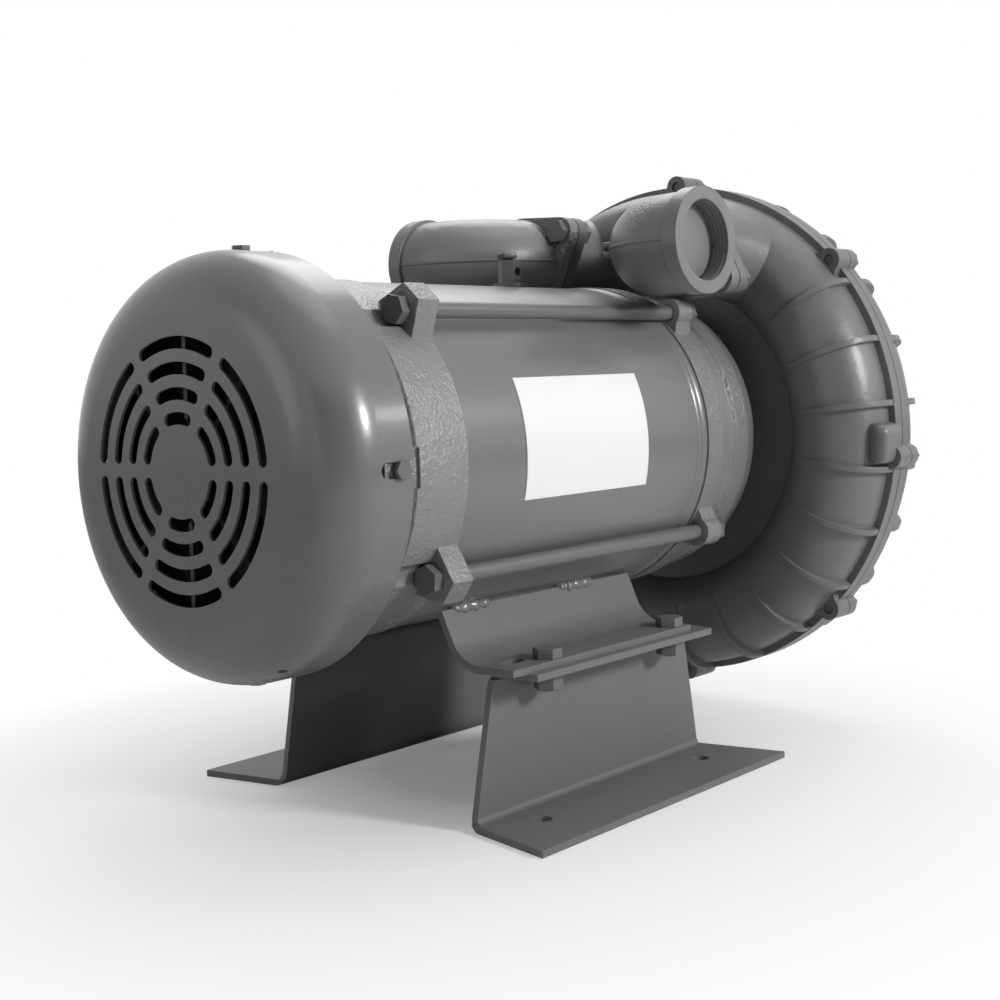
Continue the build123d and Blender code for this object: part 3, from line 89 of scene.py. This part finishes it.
# The floor's shadow fades out between FADE_NEAR and FADE_FAR from the middle; the flag is a dark card
FLOOR_HALF, FLOOR_DROP, FLOOR_SHADE = 6.0, 0.0003, 0.93
FADE_NEAR, FADE_FAR = 0.06, 0.38
GLOW_NEAR, GLOW_FAR = 0.16, 1.0
FLAG_AZIMUTH, FLAG_RISE, FLAG_DISTANCE = radians(-128), 0.22, 2.6
FLAG_WIDE, FLAG_TALL = 1.3, 0.9
FLAG_SHADE, FLAG_ROUGH = 0.02, 0.9

# Skins: the grey of the paint, how its gloss varies, and the scales of the noise in it
PAINT = 0.150
COAT_ROUGH = 0.12
GLOSS_LOW, GLOSS_HIGH = 0.05, 0.07
GRAIN_ROUGH = 0.6
BROAD_SCALE, WAVE_SCALE, PIT_SCALE = 28.0, 160.0, 420.0
PATCH_FULL = 0.35
COPPER_DARK, COPPER_LIGHT = (0.30, 0.11, 0.04, 1), (0.42, 0.18, 0.07, 1)


def make_camera():
    """The photograph's camera, from its place, angles and focal length in pixels."""
    forward = Vector((cos(YAW) * cos(PITCH), sin(YAW) * cos(PITCH), sin(PITCH)))
    right = Vector((sin(YAW), -cos(YAW), 0.0))
    up = right.cross(forward)
    side = cos(ROLL) * right + sin(ROLL) * up
    top = -sin(ROLL) * right + cos(ROLL) * up
    data = bpy.data.cameras.new("camera")
    data.sensor_width = SENSOR
    data.sensor_fit = "HORIZONTAL"
    data.lens = FOCAL_PX * SENSOR / IMAGE
    data.shift_x = (IMAGE / 2 - CENTRE_X) / IMAGE
    data.shift_y = (CENTRE_Y - IMAGE / 2) / IMAGE
    data.clip_start, data.clip_end = CLIP_START, CLIP_END
    camera = bpy.data.objects.new("camera", data)
    scene.collection.objects.link(camera)
    turn = Matrix((side, top, -forward)).transposed()
    camera.matrix_world = Matrix.Translation(CAMERA_PLACE) @ turn.to_4x4()
    scene.camera = camera


def area_light(name, azimuth, elevation, distance, size, power):
    """A round soft light at a direction from the middle of the object, turned toward it."""
    turn, lift = radians(azimuth), radians(elevation)
    way = Vector((cos(turn) * cos(lift), sin(turn) * cos(lift), sin(lift)))
    data = bpy.data.lights.new(name, "AREA")
    data.shape = "DISK"
    data.size = size
    data.energy = power
    light = bpy.data.objects.new(name, data)
    scene.collection.objects.link(light)
    light.location = LIT_POINT + distance * way
    light.rotation_euler = (-way).to_track_quat("-Z", "Y").to_euler()
    light.visible_camera = False


def make_world():
    """White behind the object for the camera and for reflections, and a soft grey fill."""
    world = bpy.data.worlds.new("studio")
    scene.world = world
    world.use_nodes = True
    tree = world.node_tree
    tree.nodes.clear()
    out = tree.nodes.new("ShaderNodeOutputWorld")
    mix = tree.nodes.new("ShaderNodeMixShader")
    seen = tree.nodes.new("ShaderNodeBackground")
    fill = tree.nodes.new("ShaderNodeBackground")
    path = tree.nodes.new("ShaderNodeLightPath")
    either = tree.nodes.new("ShaderNodeMath")
    either.operation = "MAXIMUM"
    any_of = tree.nodes.new("ShaderNodeMath")
    any_of.operation = "MAXIMUM"
    seen.inputs["Color"].default_value = (1, 1, 1, 1)
    seen.inputs["Strength"].default_value = 1.0
    fill.inputs["Color"].default_value = (1, 1, 1, 1)
    fill.inputs["Strength"].default_value = AMBIENT
    link = tree.links.new
    link(path.outputs["Is Camera Ray"], either.inputs[0])
    link(path.outputs["Is Glossy Ray"], either.inputs[1])
    link(either.outputs[0], any_of.inputs[0])
    link(path.outputs["Is Transmission Ray"], any_of.inputs[1])
    link(any_of.outputs[0], mix.inputs["Fac"])
    link(fill.outputs[0], mix.inputs[1])
    link(seen.outputs[0], mix.inputs[2])
    link(mix.outputs[0], out.inputs["Surface"])


def flat_card(name, half_x, half_y, level):
    """A flat rectangle in the scene, for the staging."""
    corners = [(x * half_x, y * half_y, level) for x, y in ((-1, -1), (1, -1), (1, 1), (-1, 1))]
    mesh = bpy.data.meshes.new(name)
    mesh.from_pydata(corners, [], [(0, 1, 2, 3)])
    card = bpy.data.objects.new(name, mesh)
    scene.collection.objects.link(card)
    return card


def make_floor():
    """A pale sweep that takes the shadow near the object and fades into the white beyond."""
    floor = flat_card("floor", FLOOR_HALF, FLOOR_HALF, -FLOOR_DROP)
    material = bpy.data.materials.new("floor_white")
    material.use_nodes = True
    tree = material.node_tree
    tree.nodes.clear()
    link = tree.links.new
    out = tree.nodes.new("ShaderNodeOutputMaterial")
    diffuse = tree.nodes.new("ShaderNodeBsdfDiffuse")
    diffuse.inputs["Color"].default_value = grey(FLOOR_SHADE)
    glow = tree.nodes.new("ShaderNodeEmission")
    glow.inputs["Color"].default_value = (1, 1, 1, 1)
    glow.inputs["Strength"].default_value = 1.0
    path = tree.nodes.new("ShaderNodeLightPath")
    coords = tree.nodes.new("ShaderNodeTexCoord")
    far = tree.nodes.new("ShaderNodeVectorMath")
    far.operation = "LENGTH"
    ramp = tree.nodes.new("ShaderNodeMapRange")
    ramp.inputs["From Min"].default_value = FADE_NEAR
    ramp.inputs["From Max"].default_value = FADE_FAR
    ramp.inputs["To Min"].default_value = GLOW_NEAR
    ramp.inputs["To Max"].default_value = GLOW_FAR
    product = tree.nodes.new("ShaderNodeMath")
    product.operation = "MULTIPLY"
    mix = tree.nodes.new("ShaderNodeMixShader")
    link(coords.outputs["Object"], far.inputs[0])
    link(far.outputs["Value"], ramp.inputs["Value"])
    link(ramp.outputs["Result"], product.inputs[0])
    link(path.outputs["Is Camera Ray"], product.inputs[1])
    link(product.outputs[0], mix.inputs["Fac"])
    link(diffuse.outputs[0], mix.inputs[1])
    link(glow.outputs[0], mix.inputs[2])
    link(mix.outputs[0], out.inputs["Surface"])
    floor.data.materials.append(material)


def make_flag():
    """Dark card on the photographer's side, seen only in reflections."""
    flag = flat_card("dark_flag", FLAG_WIDE, FLAG_TALL, 0.0)
    way = Vector((cos(FLAG_AZIMUTH), sin(FLAG_AZIMUTH), FLAG_RISE)).normalized()
    flag.location = LIT_POINT + FLAG_DISTANCE * way
    flag.rotation_euler = (-way).to_track_quat("Z", "Y").to_euler()
    flag.visible_camera = False
    flag.visible_diffuse = False
    flag.visible_shadow = False
    flag.visible_transmission = False
    material = bpy.data.materials.new("flag_cloth")
    material.use_nodes = True
    shader = material.node_tree.nodes["Principled BSDF"]
    shader.inputs["Base Color"].default_value = grey(FLAG_SHADE)
    shader.inputs["Roughness"].default_value = FLAG_ROUGH
    flag.data.materials.append(material)


# Materials
def grey(value):
    return (value, value, value, 1.0)


def noise_node(tree, coords, scale, detail):
    """Noise over the piece's own coordinates."""
    pattern = tree.nodes.new("ShaderNodeTexNoise")
    pattern.inputs["Scale"].default_value = scale
    pattern.inputs["Detail"].default_value = detail
    tree.links.new(coords.outputs["Object"], pattern.inputs["Vector"])
    return pattern


def bump_node(tree, before, height, depth):
    """Bumps of a given depth on top of the normal that the node before gives."""
    bump = tree.nodes.new("ShaderNodeBump")
    bump.inputs["Distance"].default_value = depth
    tree.links.new(height, bump.inputs["Height"])
    tree.links.new(before.outputs["Normal"], bump.inputs["Normal"])
    return bump


def rough_patch(tree, coords, before, place, reach, depth):
    """Pitted skin round one place, fading out at its reach."""
    link = tree.links.new
    away = tree.nodes.new("ShaderNodeVectorMath")
    away.operation = "DISTANCE"
    away.inputs[1].default_value = place
    link(coords.outputs["Object"], away.inputs[0])
    fade = tree.nodes.new("ShaderNodeMapRange")
    fade.interpolation_type = "SMOOTHSTEP"
    fade.inputs["From Min"].default_value = reach
    fade.inputs["From Max"].default_value = PATCH_FULL * reach
    link(away.outputs["Value"], fade.inputs["Value"])
    pits = noise_node(tree, coords, PIT_SCALE, detail=2.0)
    product = tree.nodes.new("ShaderNodeMath")
    product.operation = "MULTIPLY"
    link(pits.outputs["Fac"], product.inputs[0])
    link(fade.outputs["Result"], product.inputs[1])
    return bump_node(tree, before, product.outputs[0], depth)


def painted(
    name, shade, rough, grain, height,
    mottle=0.06, edge=0.0006, coarse=0.0, coat=0.0, metal=0.0, shine=0.5, patches=(),
):
    """Grey skin: grain is the size of its bumps, height their depth, coarse a second larger unevenness.

    Edges look rounded by the radius edge, and mottle is how far the shade varies. Each patch
    (place, reach, depth) is a spot where the casting under the paint is rougher.
    """
    material = bpy.data.materials.new(name)
    material.use_nodes = True
    tree = material.node_tree
    link = tree.links.new
    shader = tree.nodes["Principled BSDF"]
    shader.inputs["Metallic"].default_value = metal
    shader.inputs["Coat Weight"].default_value = coat
    shader.inputs["Coat Roughness"].default_value = COAT_ROUGH
    shader.inputs["Specular IOR Level"].default_value = shine
    coords = tree.nodes.new("ShaderNodeTexCoord")
    fine = noise_node(tree, coords, 1.0 / grain, detail=3.0)
    fine.inputs["Roughness"].default_value = GRAIN_ROUGH
    broad = noise_node(tree, coords, BROAD_SCALE, detail=4.0)
    tint = tree.nodes.new("ShaderNodeMix")
    tint.data_type = "RGBA"
    tint.inputs["A"].default_value = grey(shade * (1 - mottle))
    tint.inputs["B"].default_value = grey(shade * (1 + mottle))
    link(broad.outputs["Fac"], tint.inputs["Factor"])
    link(tint.outputs["Result"], shader.inputs["Base Color"])
    gloss = tree.nodes.new("ShaderNodeMapRange")
    gloss.inputs["To Min"].default_value = rough - GLOSS_LOW
    gloss.inputs["To Max"].default_value = rough + GLOSS_HIGH
    link(broad.outputs["Fac"], gloss.inputs["Value"])
    link(gloss.outputs["Result"], shader.inputs["Roughness"])
    bevel = tree.nodes.new("ShaderNodeBevel")
    bevel.samples = 4
    bevel.inputs["Radius"].default_value = edge
    last = bump_node(tree, bevel, fine.outputs["Fac"], height)
    if coarse > 0:
        waves = noise_node(tree, coords, WAVE_SCALE, detail=2.0)
        last = bump_node(tree, last, waves.outputs["Fac"], coarse)
    for place, reach, depth in patches:
        last = rough_patch(tree, coords, last, place, reach, depth)
    link(last.outputs["Normal"], shader.inputs["Normal"])
    return material


def winding_material():
    """Varnished copper wire, its copper tone varying at random over a fine grain."""
    material = painted("copper_winding", 0.20, 0.35, 0.0010, 0.00008, metal=0.7)
    tint = next(n for n in material.node_tree.nodes if n.type == "MIX")
    tint.inputs["A"].default_value = COPPER_DARK
    tint.inputs["B"].default_value = COPPER_LIGHT
    return material


sheet_paint = painted("sheet_paint", PAINT * 1.05, 0.30, 0.0022, 0.00002, coat=0.10)
guard_paint = painted("guard_paint", PAINT, 0.27, 0.0030, 0.00002, coat=0.15)
stand_paint = painted("stand_paint", PAINT * 1.05, 0.45, 0.0009, 0.00002, shine=0.3)
housing_paint = painted("housing_paint", PAINT * 0.95, 0.36, 0.0012, 0.00006, coarse=0.00025, edge=0.0012)
# Painted sheen: the cast paint is made lighter so that the end bells reach the brightness of the glints
# on the rear bell, over the whole casting.
cast_paint = painted(
    "cast_paint", PAINT * 1.35, 0.24, 0.0019, 0.00080, mottle=0.14, coarse=0.0006, edge=0.0012, shine=0.8
)
# Painted light and shade: the two elbows are one casting in two shades, a darker copy of the paint on the
# near elbow and a lighter copy on the far one.
near_elbow_shaded_paint = painted(
    "near_elbow_shaded_paint", PAINT * 1.15, 0.32, 0.0011, 0.00007, coarse=0.00020, edge=0.0010,
    patches=[((0.058, -0.080, 0.300), 0.022, 0.0022)],
)
far_elbow_lit_paint = painted(
    "far_elbow_lit_paint", PAINT * 1.35, 0.32, 0.0011, 0.00007, coarse=0.00030, edge=0.0010,
    patches=[((0.111, 0.030, 0.310), 0.026, 0.0022)],
)
bolt_paint = painted("bolt_paint", PAINT * 0.85, 0.36, 0.0016, 0.00004, edge=0.0004)
weld_paint = painted("weld_paint", PAINT * 1.1, 0.22, 0.0012, 0.00012, mottle=0.15, edge=0.0003, coat=0.3)
plug_paint = painted("plug_paint", PAINT * 1.3, 0.50, 0.0014, 0.00003, edge=0.0004, shine=0.35)
steel = painted("steel", 0.45, 0.28, 0.0006, 0.00001, metal=1.0, edge=0.0003)
laminations = painted("laminations", 0.22, 0.42, 0.0008, 0.00003, metal=0.8, edge=0.0002)
aluminium = painted("aluminium", 0.50, 0.38, 0.0009, 0.00005, metal=1.0, edge=0.0005)
gasket_board = painted("gasket_board", 0.035, 0.75, 0.0007, 0.00004, edge=0.0002)
black_rubber = painted("black_rubber", 0.02, 0.55, 0.0009, 0.00003, edge=0.0003)
fan_plastic = painted("fan_plastic", 0.035, 0.45, 0.0015, 0.00003, edge=0.0005)
board_plastic = painted("board_plastic", 0.05, 0.5, 0.0010, 0.00003, edge=0.0004)
label_film = painted("label_film", 0.80, 0.40, 0.0030, 0.00001, mottle=0.01, edge=0.0001)
copper = winding_material()

# The looks of the CAD nodes; the ones that aren't listed are bright steel
FINISH = {
    "motor_shell": sheet_paint, "fan_guard": guard_paint, "shell_plug": bolt_paint,
    "rear_end_bell": cast_paint, "front_end_bell": cast_paint,
    "blower_housing": housing_paint, "blower_cover": housing_paint,
    "elbow_near": near_elbow_shaded_paint, "elbow_far": far_elbow_lit_paint,
    "stand_near": stand_paint, "stand_far": stand_paint,
    "saddle_near": stand_paint, "saddle_far": stand_paint,
    "conduit_box": sheet_paint, "conduit_cover": sheet_paint,
    "tie_rods": bolt_paint, "tie_rod_nuts": bolt_paint, "guard_screws": bolt_paint,
    "rim_bolts": bolt_paint, "mount_bolts": bolt_paint, "elbow_bolts": bolt_paint,
    "elbow_nuts": bolt_paint, "saddle_bolts": bolt_paint, "saddle_nuts": bolt_paint,
    "saddle_washers": bolt_paint, "conduit_screws": bolt_paint,
    "stator_core": laminations, "rotor_core": laminations, "stator_windings": copper,
    "rotor_end_rings": aluminium, "impeller": aluminium, "cooling_fan": fan_plastic,
    "cover_gasket": gasket_board, "elbow_gaskets": gasket_board, "shaft_seal": black_rubber,
    "rating_label": label_film, "terminal_board": board_plastic,
}


def finish_nodes():
    """Give every CAD node its material."""
    for name, node in nodes.items():
        node.data.materials.clear()
        node.data.materials.append(FINISH.get(name, steel))


# Detail pieces
def add_piece(name, bm, material, rounded=0.0):
    """Turn a bmesh into a piece that rides on the machine, with its faces looking outward."""
    bmesh.ops.recalc_face_normals(bm, faces=bm.faces)
    mesh = bpy.data.meshes.new(name)
    bm.to_mesh(mesh)
    bm.free()
    mesh.validate()
    mesh.polygons.foreach_set("use_smooth", [True] * len(mesh.polygons))
    mesh.materials.append(material)
    piece = bpy.data.objects.new(name, mesh)
    scene.collection.objects.link(piece)
    if rounded > 0:
        rounding = piece.modifiers.new("rounding", "BEVEL")
        rounding.width = rounded
        rounding.segments = 2
        rounding.limit_method = "ANGLE"
    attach(piece, BODY)


def join_rows(bm, rows):
    """Skin over closed rows of points, one after the other, with a face on both ends."""
    count = len(rows[0])
    for here, there in zip(rows, rows[1:]):
        for k in range(count):
            nxt = (k + 1) % count
            bm.faces.new((here[k], here[nxt], there[nxt], there[k]))
    bm.faces.new(rows[0])
    bm.faces.new(rows[-1])


def turned(profile, centre, axis, steps, hollow):
    """Revolve (distance along the axis, radius) points: a closed ring if hollow, else a solid disc."""
    along = Vector(axis).normalized()
    side = along.orthogonal().normalized()
    other = along.cross(side)
    bm = bmesh.new()
    rings = []
    for step in range(steps):
        angle = 2 * pi * step / steps
        out = cos(angle) * side + sin(angle) * other
        rings.append([bm.verts.new(Vector(centre) + d * along + r * out) for d, r in profile])
    count = len(profile)
    for step in range(steps):
        here, there = rings[step], rings[(step + 1) % steps]
        for k in range(count if hollow else count - 1):
            nxt = (k + 1) % count
            bm.faces.new((here[k], here[nxt], there[nxt], there[k]))
    if not hollow:
        for k in (0, count - 1):
            bm.faces.new([ring[k] for ring in rings])
    return bm


def shell_bead():
    """Twin rolled beads at the blower end of the shell."""
    root_r = SHELL_R - BEAD_ROOT
    profile = [(BEAD_START, root_r)]
    for step in range(BEAD_STEPS + 1):
        share = step / BEAD_STEPS
        rise = BEAD_LIFT * abs(sin(2 * pi * share)) - BEAD_SEAT
        profile.append((BEAD_START + BEAD_LENGTH * share, SHELL_R + rise))
    profile.append((BEAD_START + BEAD_LENGTH, root_r))
    bm = turned(profile, (0, 0, SHAFT_Z), (1, 0, 0), steps=192, hollow=True)
    add_piece("shell_bead", bm, sheet_paint)


def port_plug(name, side):
    """Shipping plug that closes a port, set back in the thread."""
    plug_r = THREAD_R - PLUG_PLAY
    profile = [
        (0.0, plug_r - PLUG_EDGE),
        (0.3 * PLUG_EDGE, plug_r - 0.4 * PLUG_EDGE),
        (PLUG_EDGE, plug_r),
        (PLUG_THICK - PLUG_EDGE, plug_r),
        (PLUG_THICK, plug_r - PLUG_EDGE),
    ]
    place = (PORT_X, side * (PORT_Y - PLUG_SET_BACK), PORT_Z)
    bm = turned(profile, place, (0, -side, 0), steps=96, hollow=False)
    add_piece(name, bm, plug_paint)


def port_thread(name, side):
    """Pipe thread between the mouth of a port and its plug, running out at both ends."""
    per_turn, run_out = 72, 12
    steps = THREAD_TURNS * per_turn
    width = 0.8 * THREAD_PITCH
    bm = bmesh.new()
    rows = []
    for step in range(steps + 1):
        angle = 2 * pi * step / per_turn
        depth = THREAD_INSET + THREAD_PITCH * step / per_turn
        crest = THREAD_RIDGE * min(1.0, step / run_out, (steps - step) / run_out)
        section = ((-0.5, -THREAD_SUNK), (-0.42, 0.0), (0.0, crest), (0.42, 0.0), (0.5, -THREAD_SUNK))
        row = []
        for offset, rise in section:
            radius = THREAD_R - rise
            y = side * (PORT_Y - depth - offset * width)
            row.append(bm.verts.new((PORT_X + radius * cos(angle), y, PORT_Z + radius * sin(angle))))
        rows.append(row)
    join_rows(bm, rows)
    add_piece(name, bm, bolt_paint)


def elbow_tabs(name, side, material):
    """Pair of cast tabs on the outside of the bend, one on each side of the parting line."""
    out = Vector((-TAB_OUT_X, TAB_OUT_Y * -side, 0.0))
    along = Vector((TAB_OUT_Y, TAB_OUT_X * -side, 0.0))
    up = Vector((0, 0, 1))
    middle = Vector((BEND_X, side * BEND_Y, PORT_Z)) + out * (BEND_OUTER + TAB_LIFT)
    for part, rise in (("upper", TAB_RISE), ("lower", -TAB_RISE)):
        bm = bmesh.new()
        bmesh.ops.create_cube(bm, size=1.0)
        for vert in bm.verts:
            offsets = (axis * size * c for axis, size, c in zip((out, along, up), TAB_SIZE, vert.co))
            vert.co = middle + up * rise + sum(offsets, Vector())
        add_piece(f"{name}_{part}", bm, material, TAB_ROUND)


def weld(name, side, start, end):
    """Lumpy weld between a saddle's edge and the shell, thinner toward both ends."""
    stations, points, taper = 36, 12, 6
    waves, lumps_along, lumps_round, lumps_drift, lumps_side = 24, 260, 0.8, 3, 4.0
    bm = bmesh.new()
    rows = []
    for step in range(stations + 1):
        share = step / stations
        x = start + (end - start) * share
        ends = min(1.0, taper * share, taper * (1 - share)) ** 0.5
        swell = ends * (WELD_R + WELD_WAVE * sin(share * waves))
        row = []
        for k in range(points):
            angle = 2 * pi * k / points
            spot = Vector((x * lumps_along, side * lumps_side + angle * lumps_round, share * lumps_drift))
            radius = max(WELD_LEAST, swell + WELD_LUMP * noise.noise(spot))
            y = side * SADDLE_EDGE_Y + radius * cos(angle)
            row.append(bm.verts.new((x, y, SADDLE_EDGE_Z + radius * sin(angle))))
        rows.append(row)
    join_rows(bm, rows)
    add_piece(name, bm, weld_paint)


def ring_point(angle, around, height):
    """Point over the skin of the side channel tube; around is 0 at the motor side, 90 at the rim."""
    reach = TUBE_R + height
    rho = RING_R + reach * sin(radians(around))
    turn = radians(angle)
    return Vector((RING_X - reach * cos(radians(around)), rho * cos(turn), SHAFT_Z + rho * sin(turn)))


def skin_patch(bm, angle, spans, half, heights, sunk):
    """Closed raised patch on the tube: heights(around, share) over a grid, sunk under the skin."""
    rows_top, rows_low = [], []
    for around in spans:
        top, low = [], []
        rho = RING_R + TUBE_R * sin(radians(around))
        for k in range(PATCH_STEPS + 1):
            share = 2 * k / PATCH_STEPS - 1
            here = angle + degrees(share * half / rho)
            top.append(bm.verts.new(ring_point(here, around, heights(around, share))))
            low.append(bm.verts.new(ring_point(here, around, -sunk)))
        rows_top.append(top)
        rows_low.append(low)
    last = len(spans) - 1
    for i in range(last):
        top, top_next, low, low_next = rows_top[i], rows_top[i + 1], rows_low[i], rows_low[i + 1]
        for k in range(PATCH_STEPS):
            bm.faces.new((top[k], top[k + 1], top_next[k + 1], top_next[k]))
            bm.faces.new((low[k], low_next[k], low_next[k + 1], low[k + 1]))
        for k in (0, PATCH_STEPS):
            bm.faces.new((top[k], top_next[k], low_next[k], low[k]))
    for i in (0, last):
        top, low = rows_top[i], rows_low[i]
        for k in range(PATCH_STEPS):
            bm.faces.new((top[k], low[k], low[k + 1], top[k + 1]))


def rib_fillets():
    """Soft roots on both sides of each rib, as sand casting leaves them."""
    def root(around, share):
        rib = max(0.0, RIB_LIFT + RIB_SHIFT * sin(radians(around)))
        return FILLET_CLIMB * rib * exp(-((share / FILLET_SPREAD) ** 2)) - FILLET_EDGE

    bm = bmesh.new()
    spans = [FILLET_START + FILLET_STEP * k for k in range(FILLET_ROWS)]
    for k in range(RIB_COUNT):
        angle = (RIB_START + RIB_STEP * k) % 360
        if not PORT_ZONE[0] < angle < PORT_ZONE[1]:
            skin_patch(bm, angle, spans, FILLET_HALF, root, FILLET_SUNK)
    add_piece("rib_fillets", bm, housing_paint)


def rim_boss():
    """Large blunt boss over the near ear of the rim, with its top at BOSS_TOP_R."""
    def swell(around, share):
        nose = min(1.0, max(0.0, (around - BOSS_START) / BOSS_NOSE)) ** 0.5
        side = max(0.0, 1 - abs(share) ** 6) ** 0.5
        level = max(0.0, BOSS_TOP_R - RING_R - TUBE_R * sin(radians(around)))
        return max(-BOSS_EDGE, nose * side * level / max(BOSS_STEEPEST, sin(radians(around))))

    bm = bmesh.new()
    spans = [BOSS_START + BOSS_STEP * k for k in range(BOSS_ROWS)]
    skin_patch(bm, BOSS_ANGLE, spans, BOSS_HALF, swell, BOSS_SUNK)
    add_piece("rim_boss", bm, housing_paint)


def add_details():
    """All the pieces that only the scene has."""
    shell_bead()
    rib_fillets()
    rim_boss()
    for place, side, paint in (("near", -1, near_elbow_shaded_paint), ("far", 1, far_elbow_lit_paint)):
        port_plug(f"port_plug_{place}", side)
        port_thread(f"port_thread_{place}", side)
        elbow_tabs(f"elbow_tab_{place}", side, paint)
        for number, (start, end) in enumerate(WELD_SPANS, 1):
            weld(f"saddle_weld_{place}_{number}", side, start, end)


make_camera()
make_world()
make_floor()
make_flag()
for lamp_name, lamp_values in LAMPS.items():
    area_light(lamp_name, *lamp_values)
finish_nodes()
add_details()
